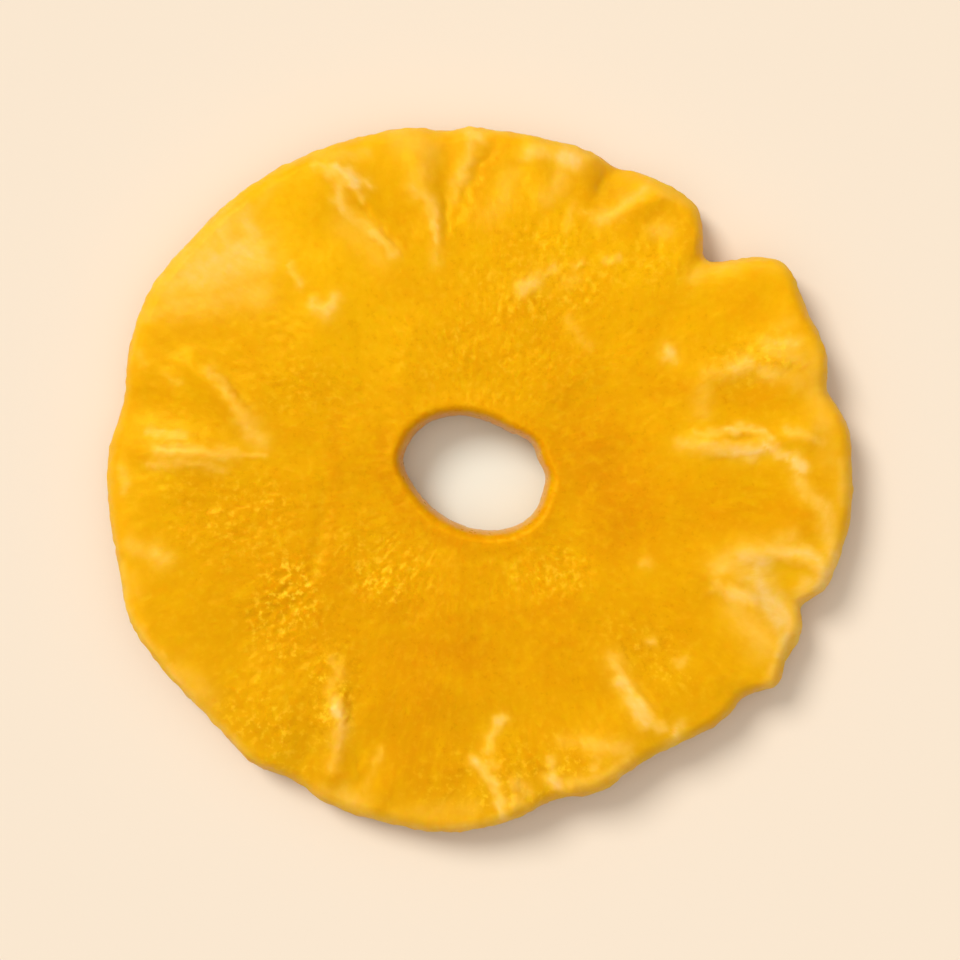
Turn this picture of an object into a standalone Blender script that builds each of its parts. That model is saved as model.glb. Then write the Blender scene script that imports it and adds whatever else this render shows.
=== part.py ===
"""Dried pineapple ring: one sugared slice with its core punched out, lying on its underside.

Metres, +Z up. The origin is on the surface that the ring lies on, under the middle of the ring.
Angles are in degrees, anticlockwise from +X as seen from above, about the middle of the slice.
"""

import math

import bmesh
import bpy
import numpy as np
from mathutils import Vector, noise

MM = 0.001

# The slice as seen from above. Each wave is (number of lobes, height, angle of one lobe).
MEAN_RADIUS = 35.0 * MM
OUTLINE_WAVES = (
    (1, 1.03 * MM, 140.0),
    (2, 1.15 * MM, 2.5),
    (3, 0.72 * MM, 5.0),
)

# Cuts left where the eyes were trimmed from the rim, each with a valley that runs inwards over the top:
# (angle, depth, half width in degrees, depth of the valley, its reach inwards).
RIM_CUTS = (
    (14.5, 1.3 * MM, 4.2, 0.5 * MM, 6.0 * MM),
    (44.5, 3.9 * MM, 4.8, 0.5 * MM, 5.0 * MM),
    (66.5, 0.5 * MM, 4.0, 1.6 * MM, 6.0 * MM),
    (96.0, 0.4 * MM, 3.0, 0.4 * MM, 11.0 * MM),
    (167.5, 0.9 * MM, 6.0, 0.5 * MM, 7.0 * MM),
    (221.0, 0.7 * MM, 8.0, 0.4 * MM, 5.0 * MM),
    (238.0, 0.9 * MM, 4.5, 0.4 * MM, 8.0 * MM),
    (283.0, 1.1 * MM, 5.5, 0.5 * MM, 7.0 * MM),
    (302.0, 1.3 * MM, 10.0, 0.4 * MM, 6.0 * MM),
    (320.5, 0.5 * MM, 3.0, 0.3 * MM, 4.0 * MM),
    (338.8, 1.5 * MM, 2.6, 0.4 * MM, 5.0 * MM),
)

# Lobes that swell between the cuts: (angle, height, half width in degrees).
RIM_LOBES = (
    (35.0, 1.2 * MM, 4.5),
    (150.0, 0.4 * MM, 6.0),
    (202.0, 0.6 * MM, 6.0),
    (264.0, 0.5 * MM, 8.0),
    (325.8, 1.0 * MM, 2.6),
    (353.5, 0.3 * MM, 5.0),
)

# The punched core hole, shrunk to an oval as the slice dried.
HOLE_CENTRE = (-0.57 * MM, 0.79 * MM)
HOLE_LONG_RADIUS = 6.9 * MM
HOLE_SHORT_RADIUS = 5.1 * MM
HOLE_LONG_ANGLE = 152.0
HOLE_LOBES = (
    (27.0, 0.65 * MM, 17.0),
    (172.0, 0.35 * MM, 14.0),
    (358.0, 0.40 * MM, 10.0),
)

# Thickness of the flesh at the hole, where it is fullest, and at the rim.
CORE_THICKNESS = 5.9 * MM
FULL_THICKNESS = 6.5 * MM
RIM_THICKNESS = 5.0 * MM
FULL_AT = 0.46
WIDEST_AT = 0.42

# How far the rounding of each edge reaches into the slice: over the top and under the bottom.
RIM_ROUND_TOP = 1.4 * MM
RIM_ROUND_UNDER = 1.5 * MM
HOLE_ROUND_TOP = 1.1 * MM
HOLE_ROUND_UNDER = 1.1 * MM

# The rim curls up off the surface in places: (angle, lift, half width in degrees).
RIM_LIFTS = (
    (24.0, 1.3 * MM, 26.0),
    (118.0, 0.9 * MM, 30.0),
    (205.0, 1.1 * MM, 28.0),
    (292.0, 1.5 * MM, 30.0),
)
LIFT_REACH = 12.0 * MM
HOLE_LIFT = 0.5 * MM
HOLE_LIFT_REACH = 4.0 * MM

# Walls between the fruitlets, dried to low ridges: (angle, radius) at the rim end and at the core end,
# and height.
FRUITLET_WALLS = (
    ((8.0, 31.5 * MM), (11.0, 19.0 * MM), 0.55 * MM),
    ((22.0, 32.5 * MM), (27.0, 22.5 * MM), 0.35 * MM),
    ((58.5, 32.2 * MM), (65.5, 27.2 * MM), 0.70 * MM),
    ((81.0, 33.0 * MM), (76.0, 25.5 * MM), 0.35 * MM),
    ((101.5, 31.5 * MM), (99.5, 21.0 * MM), 0.45 * MM),
    ((115.0, 33.0 * MM), (109.0, 21.5 * MM), 0.50 * MM),
    ((158.0, 30.0 * MM), (167.5, 21.5 * MM), 0.45 * MM),
    ((174.5, 32.5 * MM), (173.5, 22.0 * MM), 0.45 * MM),
    ((243.0, 31.5 * MM), (231.0, 21.5 * MM), 0.45 * MM),
    ((252.0, 32.5 * MM), (256.0, 27.0 * MM), 0.30 * MM),
    ((275.0, 31.5 * MM), (272.0, 23.0 * MM), 0.40 * MM),
    ((307.0, 31.5 * MM), (306.0, 20.5 * MM), 0.50 * MM),
    ((330.0, 34.0 * MM), (343.0, 23.0 * MM), 0.60 * MM),
    ((346.0, 33.5 * MM), (346.0, 23.5 * MM), 0.50 * MM),
)
WALL_WIDTH = 1.3 * MM

# Uneven shrinking of the flesh: height and spacing of the lumps in the top.
LUMP_HEIGHT = 0.42 * MM
LUMP_SPACING = 9.0 * MM

# Facets round the slice, over its top, under its bottom, and round each edge.
FACETS_ROUND = 180
FACETS_TOP = 8
FACETS_UNDER = 3
FACETS_EDGE = 4

NODE_NAME = "pineapple_ring"
FLESH_COLOUR = (0.88, 0.40, 0.010, 1.0)
FLESH_ROUGHNESS = 0.34


def swell(angle, centre, half_width):
    """1 at an angle, falling smoothly to 0 a few half widths to either side."""
    apart = (angle - centre + 180.0) % 360.0 - 180.0
    return np.exp(-((apart / half_width) ** 2))


def ease(value):
    """0 below 0, 1 above 1, and smooth between."""
    value = np.clip(value, 0.0, 1.0)
    return value * value * (3.0 - 2.0 * value)


def outline_radius(angle):
    """Distance from the middle of the slice to its rim."""
    radius = np.full_like(angle, MEAN_RADIUS)
    for lobes, height, at in OUTLINE_WAVES:
        radius += height * np.cos(np.radians(lobes * (angle - at)))
    for at, depth, half_width, _, _ in RIM_CUTS:
        radius -= depth * swell(angle, at, half_width)
    for at, height, half_width in RIM_LOBES:
        radius += height * swell(angle, at, half_width)
    return radius


def hole_radius(angle):
    """Distance from the middle of the hole to its wall."""
    turned = np.radians(angle - HOLE_LONG_ANGLE)
    across = np.hypot(HOLE_SHORT_RADIUS * np.cos(turned), HOLE_LONG_RADIUS * np.sin(turned))
    radius = HOLE_LONG_RADIUS * HOLE_SHORT_RADIUS / across
    for at, height, half_width in HOLE_LOBES:
        radius += height * swell(angle, at, half_width)
    return radius


def underside_height(angle, from_rim, from_hole):
    """Height of the underside: flat on the surface, and lifting towards the rim and the hole."""
    lift = np.zeros_like(angle)
    for at, height, half_width in RIM_LIFTS:
        lift += height * swell(angle, at, half_width)
    at_rim = ease(1.0 - from_rim / LIFT_REACH)
    at_hole = ease(1.0 - from_hole / HOLE_LIFT_REACH)
    return lift * at_rim**1.5 + HOLE_LIFT * at_hole**1.5


def thickness(share):
    """Thickness of the flesh at a share of the way from the hole to the rim."""
    inside = 1.0 - share / FULL_AT
    outside = (share - FULL_AT) / (1.0 - FULL_AT)
    loss_inside = (FULL_THICKNESS - CORE_THICKNESS) * np.clip(inside, 0.0, 1.0) ** 2
    loss_outside = (FULL_THICKNESS - RIM_THICKNESS) * np.clip(outside, 0.0, 1.0) ** 2
    return FULL_THICKNESS - loss_inside - loss_outside


def place(angle, radius):
    """Point at an angle and a radius from the middle of the slice."""
    turn = math.radians(angle)
    return radius * np.array([math.cos(turn), math.sin(turn)])


def wall_ridges(x, y):
    """Height of the dried fruitlet walls above the flesh round them."""
    height = np.zeros_like(x)
    for rim_end, core_end, ridge in FRUITLET_WALLS:
        start = place(*rim_end)
        run = place(*core_end) - start
        along = ((x - start[0]) * run[0] + (y - start[1]) * run[1]) / (run @ run)
        along = np.clip(along, 0.0, 1.0)
        away = np.hypot(x - start[0] - along * run[0], y - start[1] - along * run[1])
        height = np.maximum(height, ridge * np.exp(-((away / WALL_WIDTH) ** 2)))
    return height


def cut_valleys(angle, from_rim):
    """Depth of the valleys that run inwards from the cuts in the rim."""
    depth = np.zeros_like(angle)
    for at, _, half_width, valley, reach in RIM_CUTS:
        depth += valley * swell(angle, at, 0.8 * half_width) * ease(1.0 - from_rim / reach)
    return depth


def lumps(x, y):
    """Uneven shrinking over the top of the slice."""
    return np.array(
        [
            LUMP_HEIGHT * noise.fractal(Vector((px, py, 0.0)) / LUMP_SPACING, 0.9, 2.0, 2)
            for px, py in zip(x, y)
        ]
    )


def edge_rounding(distance, reach):
    """Quarter ellipse: 0 at the edge and 1 from the rounding's reach inwards."""
    left = 1.0 - np.clip(distance / reach, 0.0, 1.0)
    return np.sqrt(1.0 - left * left)


def across_distances(width, hole_reach, rim_reach, facets):
    """Distances from the hole's wall to the rim, closer together where the edges are round."""
    turns = np.linspace(0.0, math.pi / 2.0, FACETS_EDGE + 1)[:-1]
    round_in = hole_reach * (1.0 - np.cos(turns))
    round_out = width - rim_reach * (1.0 - np.cos(turns[::-1]))
    flat = np.linspace(hole_reach, width - rim_reach, facets + 1)
    return np.concatenate([round_in, flat, round_out])


def section(angle):
    """Points round the slice at one angle: over the top from hole to rim, and back underneath."""
    heading = place(angle, 1.0)
    inner = np.array(HOLE_CENTRE) + hole_radius(np.array([angle]))[0] * heading
    outer = outline_radius(np.array([angle]))[0] * heading
    width = float(np.linalg.norm(outer - inner))
    across = (outer - inner) / width
    rows = []
    for top in (True, False):
        hole_reach, rim_reach, facets = (
            (HOLE_ROUND_TOP, RIM_ROUND_TOP, FACETS_TOP)
            if top
            else (HOLE_ROUND_UNDER, RIM_ROUND_UNDER, FACETS_UNDER)
        )
        from_hole = across_distances(width, hole_reach, rim_reach, facets)
        from_rim = width - from_hole
        x = inner[0] + across[0] * from_hole
        y = inner[1] + across[1] * from_hole
        angles = np.full_like(x, angle)
        low = underside_height(angles, from_rim, from_hole)
        high = low + thickness(from_hole / width)
        widest = low + WIDEST_AT * (high - low)
        relief = wall_ridges(x, y) + lumps(x, y) - cut_valleys(angles, from_rim)
        rounding = edge_rounding(from_hole, hole_reach) * edge_rounding(from_rim, rim_reach)
        if top:
            z = widest + (high + relief - widest) * rounding
        else:
            z = widest - (widest - low) * rounding
        rows.append(np.stack([x, y, z], axis=1))
    over, under = rows
    return np.concatenate([over, under[-2:0:-1]])


def middle_of_box(points):
    """Horizontal middle of the slice's box."""
    low, high = points[:, :2].min(axis=0), points[:, :2].max(axis=0)
    return (low + high) / 2.0


def ring_mesh():
    """The slice's closed surface: neighbouring sections joined by quads all the way round."""
    angles = np.arange(FACETS_ROUND) * 360.0 / FACETS_ROUND
    sections = [section(angle) for angle in angles]
    points = np.concatenate(sections)
    points[:, :2] -= middle_of_box(points)
    around = len(sections[0])
    shape = bmesh.new()
    verts = [shape.verts.new(point) for point in points]
    for i in range(FACETS_ROUND):
        here = i * around
        there = (i + 1) % FACETS_ROUND * around
        for j in range(around):
            k = (j + 1) % around
            shape.faces.new((verts[here + j], verts[here + k], verts[there + k], verts[there + j]))
    bmesh.ops.recalc_face_normals(shape, faces=shape.faces)
    mesh = bpy.data.meshes.new(NODE_NAME)
    shape.to_mesh(mesh)
    shape.free()
    mesh.shade_smooth()
    return mesh


def flesh_material():
    """Sugared pineapple flesh: amber yellow with a soft shine."""
    material = bpy.data.materials.new("pineapple_flesh")
    material.use_nodes = True
    surface = material.node_tree.nodes["Principled BSDF"]
    surface.inputs["Base Color"].default_value = FLESH_COLOUR
    surface.inputs["Roughness"].default_value = FLESH_ROUGHNESS
    surface.inputs["Metallic"].default_value = 0.0
    return material


def main():
    for thing in list(bpy.data.objects):
        bpy.data.objects.remove(thing)
    ring = bpy.data.objects.new(NODE_NAME, ring_mesh())
    ring.data.materials.append(flesh_material())
    bpy.context.scene.collection.objects.link(ring)


main()
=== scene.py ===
"""Looks of one dried pineapple ring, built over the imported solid.

Metres, +Z up, in the solid's frame. Angles are in degrees, anticlockwise from +X as seen from above.
Places on the slice are (x, y) in millimetres from the middle of its outline, as seen from above.
"""

import math

import bmesh
import bpy
import numpy as np
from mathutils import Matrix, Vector, noise


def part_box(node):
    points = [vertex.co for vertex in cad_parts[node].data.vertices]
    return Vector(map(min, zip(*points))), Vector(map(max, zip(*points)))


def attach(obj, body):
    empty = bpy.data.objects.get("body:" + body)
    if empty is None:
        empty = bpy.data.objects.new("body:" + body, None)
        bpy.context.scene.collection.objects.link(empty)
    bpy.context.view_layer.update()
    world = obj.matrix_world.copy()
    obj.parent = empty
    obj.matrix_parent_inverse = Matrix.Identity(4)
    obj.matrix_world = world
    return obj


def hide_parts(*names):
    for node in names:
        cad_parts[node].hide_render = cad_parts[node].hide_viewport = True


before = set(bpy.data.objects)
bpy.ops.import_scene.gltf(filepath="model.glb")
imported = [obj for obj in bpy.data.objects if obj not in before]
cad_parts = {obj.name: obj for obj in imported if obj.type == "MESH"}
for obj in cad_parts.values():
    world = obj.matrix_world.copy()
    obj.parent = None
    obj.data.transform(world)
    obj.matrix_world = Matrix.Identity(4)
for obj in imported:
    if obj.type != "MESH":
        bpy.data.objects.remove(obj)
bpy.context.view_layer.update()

MM = 0.001

# The slice as seen from above, with the solid's own values. Each wave is (lobes, height, angle of one lobe).
MEAN_RADIUS = 35.0
OUTLINE_WAVES = ((1, 1.03, 140.0), (2, 1.15, 2.5), (3, 0.72, 5.0))

# Cuts left where the eyes were trimmed from the rim, each with a valley that runs inwards over the top:
# (angle, depth, half width in degrees, depth of the valley, its reach inwards).
RIM_CUTS = (
    (14.5, 1.3, 4.2, 0.5, 6.0),
    (44.5, 3.9, 4.8, 0.5, 5.0),
    (66.5, 0.5, 4.0, 1.6, 6.0),
    (96.0, 0.4, 3.0, 0.4, 11.0),
    (167.5, 0.9, 6.0, 0.5, 7.0),
    (221.0, 0.7, 8.0, 0.4, 5.0),
    (238.0, 0.9, 4.5, 0.4, 8.0),
    (283.0, 1.1, 5.5, 0.5, 7.0),
    (302.0, 1.3, 10.0, 0.4, 6.0),
    (320.5, 0.5, 3.0, 0.3, 4.0),
    (338.8, 1.5, 2.6, 0.4, 5.0),
)

# Lobes that swell between the cuts, and round the hole: (angle, height, half width in degrees).
RIM_LOBES = (
    (35.0, 1.2, 4.5),
    (150.0, 0.4, 6.0),
    (202.0, 0.6, 6.0),
    (264.0, 0.5, 8.0),
    (325.8, 1.0, 2.6),
    (353.5, 0.3, 5.0),
)
HOLE_CENTRE = (-0.57, 0.79)
HOLE_LONG_RADIUS = 6.9
HOLE_SHORT_RADIUS = 5.1
HOLE_LONG_ANGLE = 152.0
HOLE_LOBES = ((27.0, 0.65, 17.0), (172.0, 0.35, 14.0), (358.0, 0.40, 10.0))

# Thickness of the flesh at the hole, where it is fullest, and at the rim.
CORE_THICKNESS = 5.9
FULL_THICKNESS = 6.5
RIM_THICKNESS = 5.0
FULL_AT = 0.46
WIDEST_AT = 0.42
RIM_ROUND_TOP = 1.4
RIM_ROUND_UNDER = 1.5
HOLE_ROUND_TOP = 1.1
HOLE_ROUND_UNDER = 1.1

# The rim curls up off the surface in places: (angle, lift, half width in degrees). A lift is steeper further
# out, by its curl, and a cut's valley is narrower than the cut.
RIM_LIFTS = ((24.0, 1.3, 26.0), (118.0, 0.9, 30.0), (205.0, 1.1, 28.0), (292.0, 1.5, 30.0))
LIFT_REACH = 12.0
HOLE_LIFT = 0.5
HOLE_LIFT_REACH = 4.0
LIFT_CURL = 1.5
VALLEY_WIDTH = 0.8

# Walls between the fruitlets, dried to low ridges: (angle, radius) at the rim end and the core end, height.
FRUITLET_WALLS = (
    ((8.0, 31.5), (11.0, 19.0), 0.55),
    ((22.0, 32.5), (27.0, 22.5), 0.35),
    ((58.5, 32.2), (65.5, 27.2), 0.70),
    ((81.0, 33.0), (76.0, 25.5), 0.35),
    ((101.5, 31.5), (99.5, 21.0), 0.45),
    ((115.0, 33.0), (109.0, 21.5), 0.50),
    ((158.0, 30.0), (167.5, 21.5), 0.45),
    ((174.5, 32.5), (173.5, 22.0), 0.45),
    ((243.0, 31.5), (231.0, 21.5), 0.45),
    ((252.0, 32.5), (256.0, 27.0), 0.30),
    ((275.0, 31.5), (272.0, 23.0), 0.40),
    ((307.0, 31.5), (306.0, 20.5), 0.50),
    ((330.0, 34.0), (343.0, 23.0), 0.60),
    ((346.0, 33.5), (346.0, 23.5), 0.50),
)
WALL_WIDTH = 1.3
WALL_FADE = 4.5
LUMP_HEIGHT = 0.42
LUMP_SPACING = 9.0

# Pale, opaque fibres and flesh, as soft strokes over the top; a few of them stand for a painted sheen and for
# painted light lines along the rim: (paleness, half width, places along it). Below the list: their strength
# and height, the half width from which they lie flatter, and the share, reach and end of their soft halo.
# Then how far they hide dark flesh and painted shade, and how much painted shade a millimetre of valley gets.
PALE_MARKS = (
    # Top left: a bright knot by the rim, and the fold that runs inwards from it.
    (1.00, 0.75, ((-13.9, 29.8), (-13.0, 29.5), (-12.0, 28.6))),
    (0.55, 0.45, ((-15.9, 30.3), (-14.2, 29.9))),
    (0.58, 0.50, ((-12.2, 29.4), (-10.7, 28.4))),
    (0.50, 0.45, ((-12.0, 28.3), (-11.3, 27.1))),
    (0.62, 0.70, ((-13.4, 29.0), (-13.5, 26.9), (-13.1, 26.0))),
    (0.45, 0.80, ((-13.1, 26.0), (-12.0, 25.0), (-10.4, 23.9))),
    (0.58, 0.70, ((-10.4, 23.9), (-9.2, 22.9), (-8.4, 21.8))),
    (0.26, 1.60, ((-12.8, 24.6), (-9.6, 21.6))),
    (0.34, 0.80, ((-15.5, 31.0), (-11.0, 31.4))),
    # Left: a smooth lobe with a painted sheen on it, a small knot beside it, and two forked fibres.
    (0.70, 2.90, ((-27.2, 20.2), (-23.0, 21.6))),
    (0.52, 1.90, ((-29.8, 18.6), (-27.0, 20.8), (-24.0, 25.0))),
    (0.62, 1.30, ((-22.8, 25.4), (-21.0, 20.8))),
    (0.44, 1.80, ((-29.4, 17.2), (-21.4, 18.2))),
    (0.74, 1.30, ((-23.6, 22.0), (-22.2, 21.6))),
    (0.66, 0.70, ((-15.9, 16.9), (-14.8, 16.0), (-14.0, 17.4))),
    (0.50, 0.50, ((-18.2, 20.6), (-17.3, 18.8))),
    (0.24, 0.70, ((-21.6, 26.2), (-19.8, 28.6))),
    (0.46, 0.55, ((-26.0, 10.6), (-25.2, 9.8), (-23.6, 7.6), (-22.4, 6.0))),
    (0.48, 1.00, ((-22.6, 6.0), (-21.2, 3.8))),
    (0.55, 0.50, ((-31.8, 4.9), (-30.0, 4.3), (-28.4, 4.3))),
    (0.60, 0.80, ((-30.8, 3.0), (-28.0, 2.9))),
    (0.52, 0.70, ((-28.0, 2.9), (-26.0, 2.7), (-23.6, 2.6))),
    (0.40, 0.40, ((-23.6, 2.6), (-20.8, 2.6))),
    (0.42, 0.55, ((-31.8, 1.7), (-28.4, 1.8), (-25.6, 1.7), (-24.6, 1.2))),
    (0.40, 0.50, ((-34.5, 1.2), (-34.2, 0.0), (-34.4, -1.0))),
    (0.38, 0.90, ((-32.0, 16.0), (-30.6, 16.4))),
    (0.30, 0.50, ((-33.0, 12.4), (-32.4, 11.2))),
    (0.28, 0.40, ((-30.4, 10.4), (-29.0, 9.4))),
    # Lower left: two pale places by the rim, and a painted light line along the rim's thin edge.
    (0.60, 0.90, ((-31.2, -6.9), (-30.5, -7.4))),
    (0.36, 0.90, ((-33.6, -6.0), (-32.0, -6.8))),
    (0.24, 0.70, ((-33.4, -9.0), (-32.8, -10.8))),
    (0.42, 0.45, ((-34.4, -8.0), (-34.0, -12.0), (-32.2, -15.0), (-30.0, -17.4))),
    (0.50, 0.55, ((-30.2, -17.6), (-28.3, -19.9), (-26.8, -22.0))),
    (0.40, 0.45, ((-26.8, -21.9), (-25.0, -23.8), (-22.4, -26.0))),
    (0.33, 1.20, ((-29.2, -18.2), (-27.0, -19.8), (-26.2, -21.4))),
    # Bottom: the fibres to the left and right of the clear flesh, and a painted light line along the rim's
    # edge between them.
    (0.33, 0.55, ((-14.2, -17.0), (-13.5, -18.4), (-14.5, -20.0))),
    (0.98, 0.65, ((-13.9, -21.6), (-13.5, -22.3))),
    (0.62, 0.60, ((-14.0, -21.0), (-13.2, -23.6))),
    (0.52, 0.80, ((-13.3, -23.6), (-13.7, -25.4))),
    (0.40, 0.70, ((-13.8, -25.4), (-14.2, -27.4))),
    (0.35, 0.40, ((-9.6, -25.8), (-10.0, -27.0))),
    (0.25, 0.45, ((-10.0, -27.0), (-11.2, -29.8))),
    (0.46, 1.20, ((-13.2, -30.3), (-11.8, -31.4))),
    (0.32, 0.80, ((-15.8, -29.8), (-13.4, -30.2))),
    (0.42, 0.55, ((-11.2, -32.2), (-8.6, -33.2), (-5.6, -33.5), (-3.4, -33.5))),
    (0.56, 0.80, ((-2.6, -33.4), (-0.6, -33.4))),
    (0.48, 0.60, ((-0.6, -33.3), (1.6, -32.6))),
    (0.24, 1.20, ((-8.0, -32.4), (-1.0, -31.6))),
    (0.72, 0.55, ((-0.4, -26.8), (0.6, -27.9), (1.4, -29.1))),
    (0.55, 0.50, ((1.4, -29.1), (1.9, -30.6))),
    (0.70, 0.60, ((2.0, -30.8), (2.2, -32.2))),
    (0.45, 0.70, ((3.4, -29.0), (4.4, -30.0), (3.2, -30.9), (4.4, -31.3))),
    (0.42, 0.45, ((0.8, -26.8), (1.4, -27.4))),
    (0.66, 0.50, ((2.3, -22.7), (1.5, -23.5))),
    (0.52, 0.55, ((1.5, -23.5), (0.7, -25.6))),
    (0.46, 0.50, ((6.8, -26.6), (6.9, -27.8))),
    (0.74, 0.65, ((6.9, -28.4), (7.4, -29.2))),
    (0.28, 0.70, ((7.8, -24.9), (9.6, -25.0))),
    (0.46, 0.90, ((10.2, -25.2), (13.8, -25.6))),
    (0.40, 0.50, ((11.2, -25.6), (11.0, -27.6))),
    (0.44, 0.85, ((8.0, -29.2), (10.6, -28.9), (12.8, -28.0), (14.2, -26.6))),
    # Lower right: one bold fibre, a knot at its end, and loose dots.
    (0.48, 0.80, ((12.6, -17.0), (13.4, -18.6))),
    (0.74, 0.75, ((13.5, -18.9), (14.4, -20.4))),
    (0.86, 0.80, ((14.6, -20.9), (15.3, -22.0), (15.9, -22.9))),
    (0.60, 0.60, ((16.2, -23.0), (17.3, -23.5))),
    (0.66, 0.70, ((18.9, -23.7), (18.7, -24.8), (18.1, -25.7))),
    (0.42, 0.50, ((15.7, -7.9), (16.1, -7.9))),
    (0.52, 0.45, ((16.2, -15.4), (16.6, -15.4))),
    (0.48, 0.50, ((19.1, -17.4), (19.5, -17.4))),
    # Right: pale flesh curled round an eye, its two tails, and the pale edge of the rim above it.
    (0.52, 1.20, ((22.9, -8.2), (24.8, -7.4))),
    (0.76, 1.20, ((25.2, -7.2), (27.0, -7.0))),
    (0.60, 1.60, ((25.8, -8.8), (27.0, -9.8))),
    (0.76, 0.85, ((27.6, -6.8), (30.0, -6.7), (31.6, -7.2), (32.8, -8.2))),
    (0.42, 1.00, ((28.4, -5.9), (29.6, -5.4))),
    (0.84, 1.10, ((27.0, -7.4), (26.6, -9.4), (27.2, -10.8))),
    (1.02, 1.30, ((27.4, -11.4), (28.6, -12.4), (29.1, -13.4))),
    (0.80, 0.80, ((29.4, -13.8), (29.2, -15.4), (28.8, -16.6))),
    (0.54, 0.65, ((28.8, -16.8), (28.4, -18.0), (27.9, -19.8))),
    (0.50, 0.80, ((22.8, -10.0), (23.8, -10.6))),
    (0.80, 1.00, ((24.2, -10.7), (26.2, -11.2))),
    (0.42, 1.60, ((24.6, -12.4), (26.4, -14.2), (27.4, -16.0))),
    (0.60, 0.80, ((30.9, -12.8), (30.6, -15.6))),
    (0.56, 0.90, ((31.4, -9.8), (30.8, -11.4), (30.4, -12.8))),
    (0.50, 0.80, ((30.6, 0.4), (31.2, -1.0), (32.6, -2.2))),
    (0.56, 1.00, ((33.2, -2.8), (33.5, -4.6), (33.9, -6.6))),
    (0.88, 0.90, ((34.0, -7.2), (33.4, -8.8), (32.6, -10.2))),
    (0.55, 0.60, ((32.4, -10.6), (31.6, -11.9))),
    # Right: a double fibre with a slit in it, a rough pale patch above it, and the rim's milky edge.
    (0.48, 0.80, ((19.3, 3.5), (20.4, 3.5))),
    (0.66, 0.70, ((21.2, 3.4), (24.0, 3.0))),
    (0.82, 0.75, ((24.4, 2.9), (26.8, 2.9))),
    (0.85, 0.60, ((27.2, 3.6), (29.2, 2.4))),
    (1.00, 0.70, ((30.2, 1.9), (30.8, 1.3))),
    (0.48, 0.50, ((20.8, 4.5), (23.4, 4.7))),
    (0.66, 0.45, ((23.6, 4.8), (25.2, 5.1), (26.8, 4.8), (27.8, 4.2))),
    (0.46, 0.65, ((29.4, 4.8), (31.0, 4.5), (32.8, 3.8))),
    (0.58, 0.75, ((28.6, 13.2), (30.2, 13.3))),
    (0.42, 1.10, ((27.6, 13.0), (31.0, 11.6))),
    (0.25, 0.80, ((28.6, 14.6), (29.8, 15.2))),
    (0.60, 0.90, ((24.2, 10.8), (25.6, 11.3))),
    (0.34, 0.90, ((21.8, 10.3), (24.0, 10.4))),
    (0.52, 0.90, ((27.0, 10.6), (28.0, 10.3))),
    (0.36, 1.00, ((29.0, 10.2), (30.6, 9.6))),
    (0.30, 1.00, ((21.4, 8.8), (21.2, 6.6))),
    (0.34, 1.50, ((31.8, 11.6), (32.3, 8.6), (33.0, 5.4))),
    (0.22, 1.50, ((33.0, 5.4), (33.6, 2.0))),
    (0.36, 0.80, ((34.6, 2.0), (35.0, -1.8))),
    (0.78, 0.65, ((17.9, 12.5), (18.3, 12.0))),
    # Top right: the light edge of the notch, a ridge that forks to the rim, and short, faint dashes.
    (0.36, 0.80, ((20.2, 19.4), (21.6, 20.2), (24.4, 20.7))),
    (0.22, 0.50, ((24.4, 20.8), (30.0, 20.2))),
    (0.50, 0.80, ((11.4, 25.3), (12.8, 25.7))),
    (0.50, 0.65, ((13.0, 25.9), (14.4, 26.9), (15.8, 28.1))),
    (0.34, 0.60, ((16.2, 28.2), (18.4, 27.4), (20.6, 26.8))),
    (0.28, 0.60, ((9.8, 26.0), (11.2, 25.6))),
    (0.28, 0.50, ((8.8, 26.6), (8.3, 24.2))),
    (0.38, 0.80, ((16.8, 24.1), (17.8, 24.0))),
    (0.66, 0.70, ((4.0, 18.4), (5.4, 19.2))),
    (0.40, 0.55, ((5.6, 19.4), (7.2, 20.5))),
    (0.25, 0.70, ((8.0, 19.2), (9.0, 19.3))),
    (0.46, 0.45, ((9.1, 20.5), (9.6, 20.9))),
    (0.42, 0.40, ((11.8, 21.0), (13.3, 21.4))),
    (0.26, 0.55, ((8.4, 15.6), (10.3, 12.8))),
    # Top: a bright knot, the folds on both sides of the crease, and the milky rim to their left.
    (1.02, 0.95, ((8.2, 31.2), (9.0, 30.9))),
    (0.58, 0.85, ((4.6, 31.6), (7.4, 31.4))),
    (0.42, 0.60, ((9.6, 31.2), (10.8, 31.4))),
    (0.36, 1.00, ((7.8, 29.6), (7.3, 28.0), (6.4, 27.2))),
    (0.28, 1.20, ((2.9, 29.4), (2.2, 27.2), (0.8, 25.6))),
    (0.64, 0.80, ((-1.2, 33.4), (-0.2, 33.2))),
    (0.50, 0.75, ((-0.9, 32.4), (-1.2, 30.6), (-2.0, 28.8))),
    (0.34, 0.60, ((-2.1, 28.4), (-2.7, 27.0))),
    (0.40, 0.60, ((0.4, 33.6), (1.8, 34.1))),
    (0.38, 1.70, ((-7.4, 33.0), (-5.4, 31.8))),
    (0.34, 1.30, ((-5.4, 31.0), (-5.8, 29.2))),
    (0.48, 0.80, ((-6.4, 28.1), (-5.4, 27.3))),
    (0.52, 0.65, ((-4.9, 27.0), (-4.4, 25.2))),
    (0.60, 0.50, ((-4.3, 24.8), (-4.1, 23.0))),
    (0.34, 0.60, ((-4.2, 22.6), (-4.2, 20.8))),
)
MARK_STRENGTH = 1.04
MARK_HEIGHT = 0.16
MARK_EDGE = 0.9
HALO_SHARE = 0.18
HALO_REACH = 2.2
HALO_END = 1.7
PALE_OVER_DEEP = 0.5
VALLEY_PAINTED_SHADE = 0.45
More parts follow.
